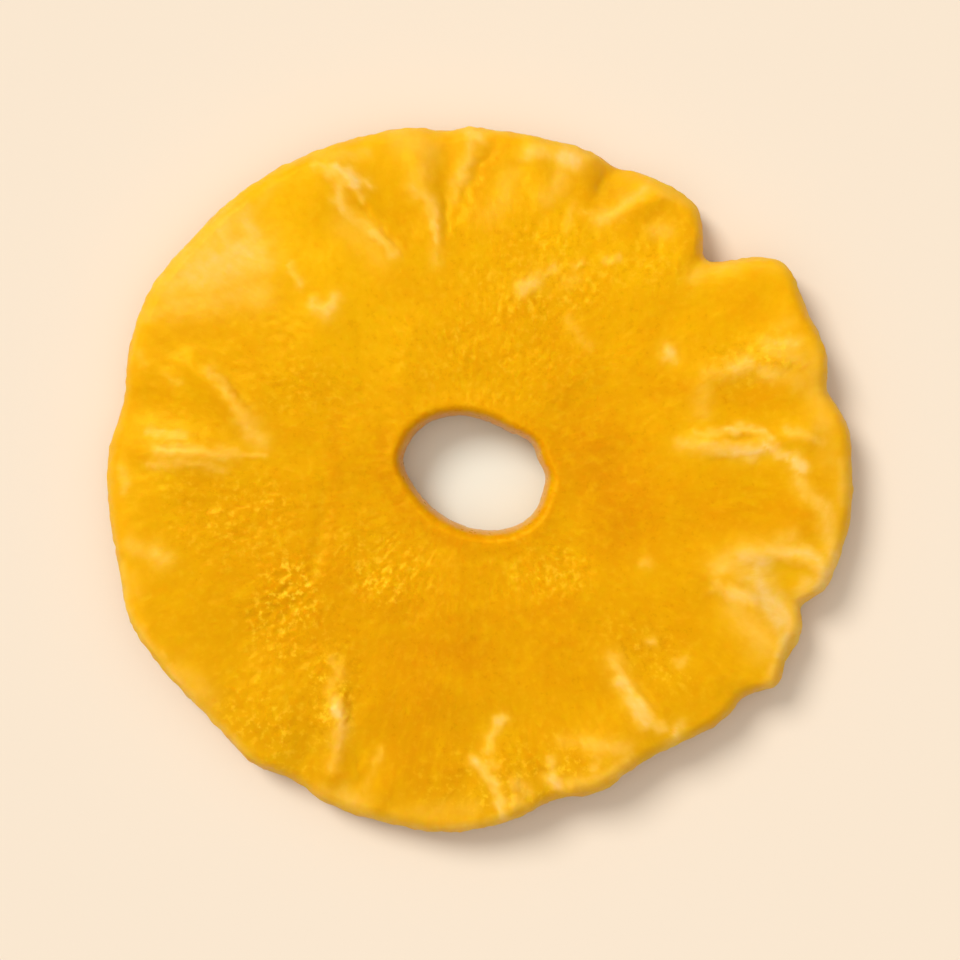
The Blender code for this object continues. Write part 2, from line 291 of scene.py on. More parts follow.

# Clear flesh that dried darker, and painted shade along a fold, a crease, a groove and a slit: (depth of
# colour, half width, places along it).
DEEP_FLESH_AND_SHADE_MARKS = (
    (0.34, 13.0, ((-1.0, 0.4), (0.6, -0.6))),
    (0.85, 4.2, ((11.0, 2.6), (12.6, -1.0), (13.6, -3.4))),
    (0.80, 0.9, ((-9.4, 4.4), (-9.3, 0.6), (-7.6, -2.6), (-4.6, -5.0), (-1.8, -6.3))),
    (0.40, 0.9, ((-1.8, -6.3), (2.4, -6.6), (5.4, -5.0))),
    # Painted shade along the fold to the left of the hole.
    (0.55, 1.0, ((-14.0, 6.0), (-13.9, 0.0), (-14.6, -6.0), (-15.4, -12.0), (-15.8, -17.0))),
    (0.60, 1.6, ((-13.4, -8.8), (-10.6, -12.0), (-5.6, -13.6), (1.6, -13.4), (8.4, -12.0))),
    (0.60, 2.4, ((-7.6, -11.4), (-4.0, -12.0))),
    (0.95, 2.8, ((-7.0, -16.6), (-1.0, -16.6))),
    (0.78, 4.0, ((-6.0, -19.0), (-5.6, -27.0))),
    (0.30, 9.0, ((-18.0, -10.0), (-6.0, -18.0), (6.0, -16.0))),
    (0.30, 3.0, ((17.0, -2.2), (30.0, -3.2))),
    (0.35, 1.5, ((16.6, 8.6), (19.4, 8.8))),
    (0.18, 1.4, ((25.2, 7.8), (29.2, 7.6))),
    # Painted shade: in the valley beside the top crease, in the groove by the top right rim, and in the right
    # double fibre's slit.
    (0.45, 0.6, ((2.9, 33.4), (1.3, 30.6), (-0.4, 27.6), (-1.0, 25.0))),
    (0.50, 1.2, ((11.4, 30.6), (13.4, 28.4))),
    (0.35, 0.5, ((23.9, 4.25), (26.8, 4.2))),
    (0.40, 0.9, ((9.2, -27.0), (10.0, -27.0))),
    (0.40, 0.7, ((24.4, -9.1), (25.4, -9.3))),
)

# Flesh that stayed lighter, and painted light on slopes in shade: (share, half width, places along it).
LIGHTER_FLESH_AND_PAINTED_LIGHT = (
    (0.80, 5.0, ((-19.0, 25.0), (-9.5, 13.0))),
    (0.20, 5.0, ((-6.0, 20.0), (6.0, 24.0), (14.0, 19.0))),
    (0.36, 4.0, ((-27.0, -13.0), (-19.0, -25.0))),
    (0.18, 4.0, ((-22.0, 1.0), (-17.0, 1.0))),
    (0.36, 2.5, ((-4.0, 9.5), (4.0, 9.0))),
    # Painted light: the next four lift the colour of slopes that the key light leaves in shade.
    (0.85, 3.2, ((-15.0, 13.6), (-11.6, 11.4))),
    (0.85, 1.3, ((28.9, -8.7), (30.4, -9.8))),
    (0.60, 1.4, ((33.8, -5.0), (33.6, -8.0), (31.4, -11.8))),
    (0.60, 1.0, ((24.6, 2.6), (28.0, 2.6))),
    (0.34, 4.0, ((-31.0, -4.0), (-29.0, -10.0), (-22.5, -15.5))),
)

# Places where the wrinkles stand up and glint: (place, half length, half width, angle of its length,
# strength). Below the list: how lively the calmest flesh is, and how quickly a place fades out.
ROUGH_PATCHES = (
    ((-18.6, -12.2), 5.0, 3.4, 80.0, 1.00),
    ((-14.4, -20.0), 5.0, 2.4, 88.0, 0.95),
    ((-9.6, -8.0), 4.6, 3.4, -30.0, 0.62),
    ((-21.0, -24.0), 5.5, 4.0, -40.0, 0.60),
    ((-23.5, -3.5), 7.0, 4.5, -10.0, 0.36),
    ((4.0, -28.5), 8.0, 3.2, 8.0, 0.75),
    ((6.5, -8.6), 4.0, 2.6, 0.0, 0.52),
    ((6.6, 20.0), 8.5, 5.5, 20.0, 0.42),
    ((27.0, 11.9), 4.8, 2.3, 15.0, 0.72),
    ((0.5, 12.0), 9.0, 4.0, -8.0, 0.28),
    ((16.5, -16.5), 5.0, 2.4, -30.0, 0.50),
    ((-16.0, 9.0), 5.0, 3.0, 0.0, 0.30),
    ((18.0, 22.0), 5.0, 3.6, 0.0, 0.32),
)
CALMEST = 0.26
PATCH_FALL = 1.4

# The side to which the whole slice's colour darkens a little, and over what distance from the middle.
DARKER_WAY = (-0.60, -0.80)
DARKER_OVER = 32.0

# Sharp creases between folds: (places along the crease, half width, depth).
CREASES = (
    (((2.2, 33.6), (0.6, 31.4), (-1.2, 28.4), (-1.9, 25.6)), 0.75, 0.24),
    (((-15.2, 3.0), (-15.0, -1.4), (-15.6, -6.0), (-16.6, -11.0)), 0.70, 0.18),
    (((23.8, 4.3), (25.4, 4.3), (27.0, 4.0)), 0.30, 0.35),
    (((-12.6, 27.6), (-10.6, 25.0), (-8.6, 23.4), (-7.4, 21.6)), 0.30, 0.22),
    (((-24.9, 10.6), (-22.6, 7.6), (-21.4, 6.0)), 0.35, 0.14),
    (((-30.8, 3.6), (-27.6, 3.5)), 0.30, 0.25),
    (((14.4, -18.6), (16.4, -21.4), (17.6, -22.6)), 0.35, 0.16),
    (((-12.2, -20.6), (-12.2, -24.0)), 0.40, 0.14),
    (((2.4, -28.4), (3.0, -31.0)), 0.35, 0.16),
    (((12.2, 30.0), (11.2, 27.6)), 0.45, 0.24),
    (((30.0, -14.6), (29.4, -17.0)), 0.30, 0.16),
    (((-3.5, 28.0), (-3.3, 23.0)), 0.30, 0.18),
    (((-11.9, -26.0), (-11.6, -29.5)), 0.40, 0.14),
)

# A crease is shallower towards its ends: over what share of its length, and the least share of its depth that
# is left there. The last value is how much painted shade a crease gets for each millimetre of its depth.
CREASE_END = 0.25
CREASE_LEAST = 0.3
CREASE_PAINTED_SHADE = 1.5

# Wrinkles of the dried flesh: pebbled near the hole, and drawn out towards the rim further out.
WRINKLE_SPACING = 1.15
WRINKLE_STRETCH = 0.60
WRINKLE_HEIGHT = 0.12
PEBBLE_SPACING = 0.72
PEBBLE_HEIGHT = 0.17
GRAIN_RADIUS = 24.0
DRAWN_FROM = 12.0
DRAWN_OVER = 14.0

# How far the wrinkles wander, over what spacing, and how round their tops are. They sink into the smooth form
# by a share of their height.
WANDER = 0.5
WANDER_SPACING = 4.0
WRINKLE_ROUND = 0.01
WRINKLE_SINK = 0.4

# All noise in the shape: how much weaker each finer layer is, as a power, and how much finer.
LAYER_FALL = 0.8
LAYER_STEP = 2.0

# The cut sides: puckers in the rim, their spacing round it and up it, how far they reach over its edge, how
# far they sink into the smooth form, and their strength in the hole.
PUCKER_HEIGHT = 0.10
PUCKER_ROUND = 2.6
PUCKER_UP = 1.1
PUCKER_REACH = 0.7
PUCKER_SINK = 0.5
PUCKER_IN_HOLE = 0.4

# Raggedness of the marks: how far their places are moved, and over what spacing. The strands in them have a
# spacing across the mark, and are longer along it by a factor. Speckles break up what is left.
RAG_FAR = 0.36
RAG_SPACING = 1.1
STRAND_SPACING = 0.50
STRAND_STRETCH = 3.0
STRAND_SHARE = 0.25
SPECKLE_SPACING = 0.65
SPECKLE_SHARE = 0.16

# Raggedness of the rim's edge: its height, its spacing, and how far it reaches inwards.
RIM_RAG = 0.12
RIM_RAG_SPACING = 1.6
RIM_RAG_REACH = 1.5

# The thin rim is painted lighter, a painted glow of the light that passes through it: how far that reaches
# inwards, its mean strength, and how much and how far apart it varies.
THIN_REACH = 2.2
THIN_MEAN = 0.7
THIN_VARIES = 0.5
THIN_SPACING = 3.0

# The rough patches break up: the least and the most of their strength, and the spacing between.
PATCH_LEAST = 0.55
PATCH_MOST = 1.30
PATCH_SPACING = 3.0

# The underside: how lively its skin is beyond the calmest of the top, and the depth of its pits as a share of
# the relief's height.
UNDERSIDE_LIVELY = 0.25
UNDERSIDE_PITS = 0.6

# Height above which the relief is pressed down, and how far it may still rise.
PRESSED_FROM = 6.85
PRESSED_RISE = 0.45

# Faces round the slice, over its top, under its bottom, and round each edge.
FACES_ROUND = 740
FACES_TOP = 94
FACES_UNDER = 22
FACES_EDGE = 4

# Colours, linear.
AMBER = (0.775, 0.354, 0.0005, 1.0)
AMBER_LIGHT = (0.830, 0.438, 0.0010, 1.0)
AMBER_BRIGHT = (0.875, 0.485, 0.0015, 1.0)
AMBER_DEEP_AND_SHADE = (0.700, 0.247, 0.0004, 1.0)
AMBER_SHADE = (0.700, 0.322, 0.0004, 1.0)
GRAIN_LIGHT = (0.830, 0.460, 0.0020, 1.0)
GRAIN_DEEP = (0.690, 0.270, 0.0004, 1.0)
PAINTED_GLINT_COLOUR = (0.940, 0.570, 0.0200, 1.0)
RIM_PAINTED_GLOW = (0.880, 0.490, 0.0060, 1.0)
MARK_AMBER = (0.880, 0.480, 0.0080, 1.0)
FIBRE_PALE = (0.930, 0.590, 0.160, 1.0)
FLOOR_COLOUR = (0.800, 0.673, 0.529, 1.0)

# The ground under the hole is painted a little cooler, to offset the warm light that the hole's amber wall
# throws on it. The change lies between these distances from the middle, in metres.
HOLE_FLOOR_PAINTED_COOL = (0.735, 0.722, 0.626, 1.0)
HOLE_FLOOR_TO = 0.008
FLOOR_FROM = 0.014

# The floor: half its side, in metres, and its paper's grain, with the least and the most of its roughness.
FLOOR_HALF = 1.5
PAPER_SCALE = 300.0
PAPER_RANGE, PAPER_LEAST, PAPER_MOST = (0.3, 0.7), 0.85, 0.95

# Noise in the flesh's colour and skin, in features for each metre: slow mottling, fibres, fibres drawn out
# towards the rim, and specks, which also place the painted glints. The last value draws the fibres out.
MOTTLE_SCALE = 170.0
FIBRE_SCALE = 800.0
GRAIN_SCALE = 900.0
SPECK_SCALE = 1500.0
GRAIN_STRETCH = 0.3

# The noise between which each of the flesh's colours comes in, and the most that it covers. Dark specks and
# the painted glints also depend on how lively the flesh is, between two values, and have a share for calm and
# for lively flesh.
MOTTLE_RANGE, MOTTLE_SHARE = (0.35, 0.68), 0.85
SHADE_SHARE = 0.70
GRAIN_RANGE, GRAIN_SHARE = (0.48, 0.72), 0.45
SPECK_RANGE, SPECK_SHARE = (0.48, 0.30), 0.32
SPECK_LIVELY_RANGE, SPECK_CALM, SPECK_LIVELY = (0.2, 0.9), 0.5, 1.0
PAINTED_GLINT_RANGE = (0.53, 0.66)
PAINTED_GLINT_LIVELY_RANGE, PAINTED_GLINT_CALM, PAINTED_GLINT_LIVELY = (0.25, 0.90), 0.10, 0.85
RIM_GLOW_SHARE = 0.70

# The pale marks: how far the fibres break them up, and the paleness at which they are fully opaque amber.
BROKEN_RANGE, BROKEN_LEAST, BROKEN_MOST = (0.30, 0.66), 0.80, 1.14
OPAQUE_AT = 0.6

# The skin: roughness between and on the specks, duller on pale marks and the thin rim, and glossier on
# lively flesh.
ROUGH_RANGE, ROUGH_LEAST, ROUGH_MOST = (0.35, 0.70), 0.30, 0.50
DULLER_MARKS = 0.15
DULLER_RIM = 0.35
GLOSSIER = 0.12
GLOSS_TINT = (1.0, 0.64, 0.03, 1.0)
GLOSS_LEVEL = 0.5
FLESH_IOR = 1.48

# How far light travels in the flesh, in metres, with red furthest.
LIGHT_REACH = 0.0011
LIGHT_SPREAD = (1.0, 0.32, 0.06)

# The finest relief, in the shader: its strength, its depth in metres, what share of it is fibre, and its
# strength on calm and on lively flesh.
FINE_STRENGTH = 0.55
FINE_DEPTH = 0.00035
FINE_FIBRE = 0.6
FINE_CALM, FINE_LIVELY = 0.30, 1.20

# Brightness of the studio's sky at the horizon and overhead, and how quickly it falls off between.
SKY_LOW = 0.15
SKY_HIGH = 1.42
SKY_BOW = 3.0

# The key light: its strength, the angle that it fills in the sky, and the way towards it.
KEY_STRENGTH = 2.2
KEY_ANGLE = 24.0
KEY_WAY = (-0.50, 0.50, 0.85)

# The camera, straight above: its height and the nearest that it sees, in metres, and its lens and sensor, in
# millimetres.
CAMERA_HEIGHT = 0.262
CAMERA_NEAREST = 0.01
CAMERA_LENS = 100.0
CAMERA_SENSOR = 36.0


def swell(angle, centre, half_width):
    """1 at an angle, falling smoothly to 0 a few half widths to either side."""
    apart = (angle - centre + 180.0) % 360.0 - 180.0
    return np.exp(-((apart / half_width) ** 2))


def ease(value):
    """0 below 0, 1 above 1, and smooth between."""
    value = np.clip(value, 0.0, 1.0)
    return value * value * (3.0 - 2.0 * value)


def outline_radius(angle):
    """Distance from the middle of the slice to its rim."""
    radius = np.full_like(angle, MEAN_RADIUS)
    for lobes, height, at in OUTLINE_WAVES:
        radius += height * np.cos(np.radians(lobes * (angle - at)))
    for at, depth, half_width, _, _ in RIM_CUTS:
        radius -= depth * swell(angle, at, half_width)
    for at, height, half_width in RIM_LOBES:
        radius += height * swell(angle, at, half_width)
    return radius


def hole_radius(angle):
    """Distance from the middle of the hole to its wall."""
    turned = np.radians(angle - HOLE_LONG_ANGLE)
    across = np.hypot(HOLE_SHORT_RADIUS * np.cos(turned), HOLE_LONG_RADIUS * np.sin(turned))
    radius = HOLE_LONG_RADIUS * HOLE_SHORT_RADIUS / across
    for at, height, half_width in HOLE_LOBES:
        radius += height * swell(angle, at, half_width)
    return radius


def underside_height(angle, from_rim, from_hole):
    """Height of the underside: flat on the surface, and lifting towards the rim and the hole."""
    lift = np.zeros_like(angle)
    for at, height, half_width in RIM_LIFTS:
        lift += height * swell(angle, at, half_width)
    at_rim = ease(1.0 - from_rim / LIFT_REACH)
    at_hole = ease(1.0 - from_hole / HOLE_LIFT_REACH)
    return lift * at_rim**LIFT_CURL + HOLE_LIFT * at_hole**LIFT_CURL


def thickness(share):
    """Thickness of the flesh at a share of the way from the hole to the rim."""
    inside = 1.0 - share / FULL_AT
    outside = (share - FULL_AT) / (1.0 - FULL_AT)
    loss_inside = (FULL_THICKNESS - CORE_THICKNESS) * np.clip(inside, 0.0, 1.0) ** 2
    loss_outside = (FULL_THICKNESS - RIM_THICKNESS) * np.clip(outside, 0.0, 1.0) ** 2
    return FULL_THICKNESS - loss_inside - loss_outside


def cut_valleys(angle, from_rim):
    """Depth of the valleys that run inwards from the cuts in the rim."""
    depth = np.zeros_like(angle)
    for at, _, half_width, valley, reach in RIM_CUTS:
        depth += valley * swell(angle, at, VALLEY_WIDTH * half_width) * ease(1.0 - from_rim / reach)
    return depth


def edge_rounding(distance, reach):
    """Quarter ellipse: 0 at the edge and 1 from the rounding's reach inwards."""
    left = 1.0 - np.clip(distance / reach, 0.0, 1.0)
    return np.sqrt(1.0 - left * left)


def place(angle, radius):
    """(x, y) at an angle and a radius."""
    return radius * math.cos(math.radians(angle)), radius * math.sin(math.radians(angle))


def follow(x, y, places):
    """Distance to the left of a path (less than 0 to its right), and how far along the path, in mm."""
    nearest, left, run, gone = np.full_like(x, np.inf), np.zeros_like(x), np.zeros_like(x), 0.0
    for (ax, ay), (bx, by) in zip(places, places[1:]):
        dx, dy = bx - ax, by - ay
        length = math.hypot(dx, dy)
        along = np.clip(((x - ax) * dx + (y - ay) * dy) / length**2, 0.0, 1.0)
        away = np.hypot(x - ax - along * dx, y - ay - along * dy)
        closer = away < nearest
        side = np.where(dx * (y - ay) - dy * (x - ax) < 0.0, -1.0, 1.0)
        left = np.where(closer, side * away, left)
        run = np.where(closer, gone + along * length, run)
        nearest = np.minimum(away, nearest)
        gone += length
    return left, run


def path_length(places):
    return sum(math.dist(a, b) for a, b in zip(places, places[1:]))


def patch(x, y, at, half_length, half_width, angle):
    """1 in the middle of an oval patch, falling smoothly to 0 outside it."""
    ca, sa = math.cos(math.radians(angle)), math.sin(math.radians(angle))
    along = ((x - at[0]) * ca + (y - at[1]) * sa) / half_length
    across = ((y - at[1]) * ca - (x - at[0]) * sa) / half_width
    return np.exp(-((along**2 + across**2) ** PATCH_FALL))


def field(points, spacing, octaves=2, seed=0.0):
    """Smooth noise of about -1 to 1 at each point, with features about one spacing apart."""
    shift = Vector((seed, 2.0 * seed, 3.0 * seed))
    flat = points.reshape(-1, 3) / spacing
    values = [noise.fractal(Vector(point) + shift, LAYER_FALL, LAYER_STEP, octaves) for point in flat]
    return np.array(values).reshape(points.shape[:-1])


def grid():
    """The slice's smooth form: points round each section, over the top to the rim and back underneath."""
    angle = (np.arange(FACES_ROUND) * 360.0 / FACES_ROUND)[:, None]
    heading = np.stack([np.cos(np.radians(angle)), np.sin(np.radians(angle))], axis=-1)
    inner = np.array(HOLE_CENTRE) + hole_radius(angle)[..., None] * heading
    outer = outline_radius(angle)[..., None] * heading
    width = np.linalg.norm(outer - inner, axis=-1)
    turns = np.linspace(0.0, math.pi / 2.0, FACES_EDGE + 1)[:-1]
    rows = []
    for top in (True, False):
        hole_reach = HOLE_ROUND_TOP if top else HOLE_ROUND_UNDER
        rim_reach = RIM_ROUND_TOP if top else RIM_ROUND_UNDER
        steps = np.linspace(0.0, 1.0, (FACES_TOP if top else FACES_UNDER) + 1)
        round_in = hole_reach * (1.0 - np.cos(turns)) + 0.0 * width
        round_out = width - rim_reach * (1.0 - np.cos(turns[::-1]))
        level = hole_reach + (width - rim_reach - hole_reach) * steps
        from_hole = np.concatenate([round_in, level, round_out], axis=1)
        from_rim = width - from_hole
        share = from_hole / width
        xy = inner + (outer - inner) * share[..., None]
        x, y = xy[..., 0], xy[..., 1]
        angles = angle + 0.0 * share
        low = underside_height(angles, from_rim, from_hole)
        high = low + thickness(share)
        widest = low + WIDEST_AT * (high - low)
        if top:
            walls = np.zeros_like(x)
            for rim_end, core_end, ridge in FRUITLET_WALLS:
                ends = (place(*core_end), place(*rim_end))
                away, run = follow(x, y, ends)
                wall = ridge * np.exp(-((away / WALL_WIDTH) ** 2)) * ease(run / WALL_FADE)
                walls = np.maximum(walls, wall)
            lumps = LUMP_HEIGHT * field(np.stack([x, y, 0.0 * x], axis=-1), LUMP_SPACING)
            high = high + walls + lumps - cut_valleys(angles, from_rim)
        rounding = edge_rounding(from_hole, hole_reach) * edge_rounding(from_rim, rim_reach)
        z = widest + ((high if top else low) - widest) * rounding
        rows.append(np.stack([x, y, z, from_hole, from_rim, angles, 0.0 * x + top], axis=-1))
    over, under = rows
    return np.concatenate([over, under[:, -2:0:-1]], axis=1)


def outward(points):
    """Outward normal of the surface at each point of the grid."""
    round_way = np.roll(points, -1, axis=0) - np.roll(points, 1, axis=0)
    across_way = np.roll(points, -1, axis=1) - np.roll(points, 1, axis=1)
    normals = np.cross(across_way, round_way)
    return normals / np.linalg.norm(normals, axis=-1, keepdims=True)


def crest(value):
    """Rounded ridges along the lines where the noise crosses 0."""
    return 1.0 - 2.0 * np.sqrt(value * value + WRINKLE_ROUND)


def wrinkles(points):
    """Height of the wrinkles: little ridges, drawn out towards the rim, and pebbling between them."""
    x, y, z = points[..., 0], points[..., 1], points[..., 2]
    radius = np.hypot(x, y)
    outwards = WRINKLE_STRETCH * radius + 0.5 * z
    drawn = np.stack([GRAIN_RADIUS * x / radius, GRAIN_RADIUS * y / radius, outwards], axis=-1)
    bend = WANDER * field(points, WANDER_SPACING, seed=11.0)[..., None]
    outer = ease((radius - DRAWN_FROM) / DRAWN_OVER)
    radial = crest(field(drawn + bend, WRINKLE_SPACING, octaves=3, seed=3.0))
    loose = crest(field(points + bend, WRINKLE_SPACING, octaves=3, seed=5.0))
    ridges = outer * radial + (1.0 - outer) * loose
    pebbles = PEBBLE_HEIGHT * field(points, PEBBLE_SPACING, seed=7.0)
    return WRINKLE_HEIGHT * (ridges - WRINKLE_SINK) + pebbles


def strongest(x, y, patches):
    """The largest value that any of the patches gives at each point."""
    value = np.zeros_like(x)
    for at, half_length, half_width, angle, strength in patches:
        value = np.maximum(value, strength * patch(x, y, at, half_length, half_width, angle))
    return value


def stroked(x, y, strokes):
    """The largest value that any of the soft strokes gives at each point."""
    value = np.zeros_like(x)
    for strength, half_width, places in strokes:
        left, _ = follow(x, y, places)
        value = np.maximum(value, strength * np.exp(-((left / half_width) ** 2)))
    return value


def marks(points):
    """What the marks, rough places and creases of the top do at each point: three shares and the relief."""
    rag = np.stack([field(points, RAG_SPACING, seed=seed) for seed in (21.0, 25.0)], axis=-1) * RAG_FAR
    x, y = points[..., 0] + rag[..., 0], points[..., 1] + rag[..., 1]
    pale, relief, deep_and_shade = np.zeros_like(x), np.zeros_like(x), stroked(x, y, DEEP_FLESH_AND_SHADE_MARKS)
    for number, (paleness, half_width, places) in enumerate(PALE_MARKS):
        left, run = follow(x, y, places)
        near = np.abs(left) < HALO_END * HALO_REACH * half_width
        left, run = left[near] / half_width, run[near]
        strands = 0.0
        if half_width < MARK_EDGE:
            across = np.stack([run / STRAND_STRETCH, left * half_width, 0.0 * run], axis=-1)
            strands = STRAND_SHARE * field(across, STRAND_SPACING, seed=50.0 + number)
        core = np.exp(-(left**2)) * (1.0 + strands)
        halo = np.exp(-((left / HALO_REACH) ** 2))
        pale[near] = np.maximum(pale[near], paleness * ((1.0 - HALO_SHARE) * core + HALO_SHARE * halo))
        raised = MARK_HEIGHT * paleness * core * min(1.0, MARK_EDGE / half_width)
        relief[near] = np.maximum(relief[near], raised)
    for places, half_width, depth in CREASES:
        left, run = follow(x, y, places)
        from_end = np.minimum(run, path_length(places) - run) / path_length(places)
        cut = np.clip(from_end / CREASE_END, CREASE_LEAST, 1.0) * np.exp(-((left / half_width) ** 2))
        relief = relief - depth * cut
        # Painted shade in each crease, stronger where it is deeper.
        deep_and_shade = np.maximum(deep_and_shade, CREASE_PAINTED_SHADE * depth * cut)
    pale = MARK_STRENGTH * pale * (1.0 + SPECKLE_SHARE * field(points, SPECKLE_SPACING, seed=71.0))
    broken = ease(0.5 + field(points, PATCH_SPACING, seed=61.0))
    rough = strongest(x, y, ROUGH_PATCHES) * (PATCH_LEAST + (PATCH_MOST - PATCH_LEAST) * broken)
    return pale, deep_and_shade * (1.0 - PALE_OVER_DEEP * pale), rough, relief


def ring_shape():
    """(points, marks by name) of the finished surface."""
    rows = grid()
    points, from_hole, from_rim, angle, top = rows[..., :3], *np.moveaxis(rows[..., 3:], -1, 0)
    normals = outward(points)
    pale, deep_and_shade, rough, relief = (value * top for value in marks(points))
    # Painted shade in the valleys that run inwards from the cuts.
    deep_and_shade = np.maximum(deep_and_shade, VALLEY_PAINTED_SHADE * top * cut_valleys(angle, from_rim))
    lively = CALMEST + (1.0 - CALMEST) * rough + UNDERSIDE_LIVELY * (1.0 - top)
    rag = RIM_RAG * field(points, RIM_RAG_SPACING, octaves=3, seed=41.0) * np.exp(-from_rim / RIM_RAG_REACH)
    in_rim, in_hole = (np.exp(-((away / PUCKER_REACH) ** 2)) for away in (from_rim, from_hole))
    cut = in_rim + PUCKER_IN_HOLE * in_hole
    round_it = points * (1.0 / PUCKER_ROUND, 1.0 / PUCKER_ROUND, 1.0 / PUCKER_UP)
    puckers = PUCKER_HEIGHT * cut * (crest(field(round_it, 1.0, seed=81.0)) - PUCKER_SINK)
    height = relief + lively * wrinkles(points) + rag + puckers
    height = np.where(top > 0.5, height, -np.abs(height) * UNDERSIDE_PITS)
    points = points + normals * height[..., None]
    high = np.maximum(points[..., 2] - PRESSED_FROM, 0.0)
    points[..., 2] = np.clip(points[..., 2] - high + PRESSED_RISE * np.tanh(high / PRESSED_RISE), 0.0, None)
    darker = points[..., 0] * DARKER_WAY[0] + points[..., 1] * DARKER_WAY[1]
    thin = THIN_MEAN + THIN_VARIES * field(points, THIN_SPACING, seed=51.0)
    thin = np.exp(-from_rim / THIN_REACH) * thin
    return points, {
        "pale": np.clip(pale, 0.0, 1.0),
        "deep_and_shade": np.clip(deep_and_shade, 0.0, 1.0),
        "thin": np.clip(thin, 0.0, 1.0),
        "lively": np.clip(lively, 0.0, 1.0),
        "tone": np.clip(0.5 + 0.5 * darker / DARKER_OVER, 0.0, 1.0),
        "light": np.clip(stroked(points[..., 0], points[..., 1], LIGHTER_FLESH_AND_PAINTED_LIGHT), 0.0, 1.0),
    }


def ring_object():
    """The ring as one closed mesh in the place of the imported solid."""
    points, values = ring_shape()
    low, high = points.min(axis=(0, 1)), points.max(axis=(0, 1))
    solid_low, solid_high = (np.array(corner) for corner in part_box("pineapple_ring"))
    points = points * MM
    points[..., :2] += (solid_low + solid_high)[:2] / 2.0 - (low + high)[:2] * MM / 2.0
    around = points.shape[1]
    shape = bmesh.new()
    verts = [shape.verts.new(point) for point in points.reshape(-1, 3)]
    for i in range(FACES_ROUND):
        here, there = i * around, (i + 1) % FACES_ROUND * around
        for j in range(around):
            k = (j + 1) % around
            shape.faces.new((verts[here + j], verts[here + k], verts[there + k], verts[there + j]))
    bmesh.ops.recalc_face_normals(shape, faces=shape.faces)
    mesh = bpy.data.meshes.new("ring_flesh")
    shape.to_mesh(mesh)
    shape.free()
    mesh.shade_smooth()
    for name, value in values.items():
        layer = mesh.attributes.new(name, "FLOAT", "POINT")
        layer.data.foreach_set("value", value.reshape(-1).astype(np.float32))
    ring = bpy.data.objects.new("ring_flesh", mesh)
    bpy.context.scene.collection.objects.link(ring)
    return ring


class Nodes:
    """Short ways to add shader nodes to one material."""

    def __init__(self, name):
        self.material = bpy.data.materials.new(name)
        self.material.use_nodes = True
        self.tree = self.material.node_tree
        self.surface = self.tree.nodes["Principled BSDF"]

    def add(self, kind, inputs=(), **settings):
        node = self.tree.nodes.new(kind)
        for name, value in settings.items():
            setattr(node, name, value)
        for socket, value in dict(inputs).items():
            self.feed(node.inputs[socket], value)
        return node

    def feed(self, socket, value):
        if isinstance(value, bpy.types.NodeSocket):
            self.tree.links.new(value, socket)
        else:
            socket.default_value = value

    def mark(self, name):
        return self.add("ShaderNodeAttribute", attribute_name=name).outputs["Fac"]

    def noise(self, where, scale, detail, roughness=0.6):
        inputs = {"Vector": where, "Scale": scale, "Detail": detail, "Roughness": roughness}
        return self.add("ShaderNodeTexNoise", inputs).outputs["Fac"]

    def range(self, value, low, high, to_low, to_high):
        inputs = {"Value": value, "From Min": low, "From Max": high, "To Min": to_low, "To Max": to_high}
        return self.add("ShaderNodeMapRange", inputs).outputs["Result"]

    def math(self, operation, a, b):
        node = self.add("ShaderNodeMath", {0: a, 1: b}, operation=operation)
        return node.outputs["Value"]

    def blend(self, share, a, b):
        return self.add("ShaderNodeMix", {0: share, 2: a, 3: b}, data_type="FLOAT").outputs[0]

    def mix(self, share, a, b):
        node = self.add("ShaderNodeMix", {"Factor": share}, data_type="RGBA")
        self.feed(node.inputs[6], a)
        self.feed(node.inputs[7], b)
        return node.outputs[2]


